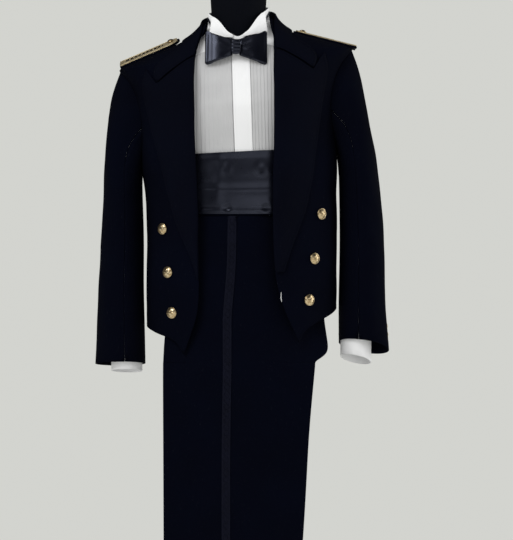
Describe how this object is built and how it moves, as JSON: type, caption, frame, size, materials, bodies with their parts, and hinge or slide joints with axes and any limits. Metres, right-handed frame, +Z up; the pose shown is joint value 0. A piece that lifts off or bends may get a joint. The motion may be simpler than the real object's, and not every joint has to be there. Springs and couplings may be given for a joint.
{
  "type": "dress uniform on a limbless dress form",
  "caption": "Evening dress uniform on a limbless dress form: open waist-length jacket, pleated shirt, bow tie, cummerbund and trousers folded on their creases.",
  "frame": {"origin": "centre of the round base on the floor, under the pole of the dress form", "axes": "+Z up along the pole, -Y towards the front of the uniform, +X towards the viewer's right"},
  "size_m": [0.5991, 0.356, 1.6535],
  "materials": {
    "wool": "dark navy wool, matt",
    "lapel": "dark navy wool facing, matt",
    "shirt": "white shirting",
    "bib": "fine pleated white shirting",
    "satin": "dark navy satin",
    "braid": "dark blue woven braid",
    "gilt": "polished gilt",
    "lace": "gold lace",
    "form": "smooth black",
    "stand": "satin black"
  },
  "bodies": {
    "root": {"board_button_left": "gilt", "board_button_right": "gilt", "board_lace_left": "lace", "board_lace_right": "lace", "braid_far": "braid", "braid_near": "braid", "cummerbund_buckle": "gilt", "cummerbund_front": "satin", "cummerbund_strap": "satin", "form_base": "stand", "form_neck_cap": "form", "form_pole": "stand", "form_torso": "form", "front_button_lower_left": "gilt", "front_button_lower_right": "gilt", "front_button_middle_left": "gilt", "front_button_middle_right": "gilt", "front_button_upper_left": "gilt", "front_button_upper_right": "gilt", "jacket_back_left": "wool", "jacket_back_right": "wool", "jacket_collar": "lapel", "jacket_front_left": "wool", "jacket_front_right": "wool", "lapel_left": "lapel", "lapel_right": "lapel", "shirt_back": "shirt", "shirt_bib_left": "bib", "shirt_bib_right": "bib", "shirt_collar_band": "shirt", "shirt_cuff_left": "shirt", "shirt_cuff_right": "shirt", "shirt_front_left": "shirt", "shirt_front_right": "shirt", "shirt_placket": "shirt", "shirt_sleeve_left": "shirt", "shirt_sleeve_right": "shirt", "shirt_wing_left": "shirt", "shirt_wing_right": "shirt", "shoulder_board_left": "wool", "shoulder_board_right": "wool", "sleeve_button_lower_left": "gilt", "sleeve_button_lower_right": "gilt", "sleeve_button_upper_left": "gilt", "sleeve_button_upper_right": "gilt", "sleeve_under_left": "wool", "sleeve_under_right": "wool", "sleeve_upper_left": "wool", "sleeve_upper_right": "wool", "tie_band": "satin", "tie_bow_left": "satin", "tie_bow_right": "satin", "tie_knot": "satin", "trouser_back_far": "wool", "trouser_back_near": "wool", "trouser_front_far": "wool", "trouser_front_near": "wool", "waistband_far": "wool", "waistband_near": "wool"}
  },
  "joints": []
}
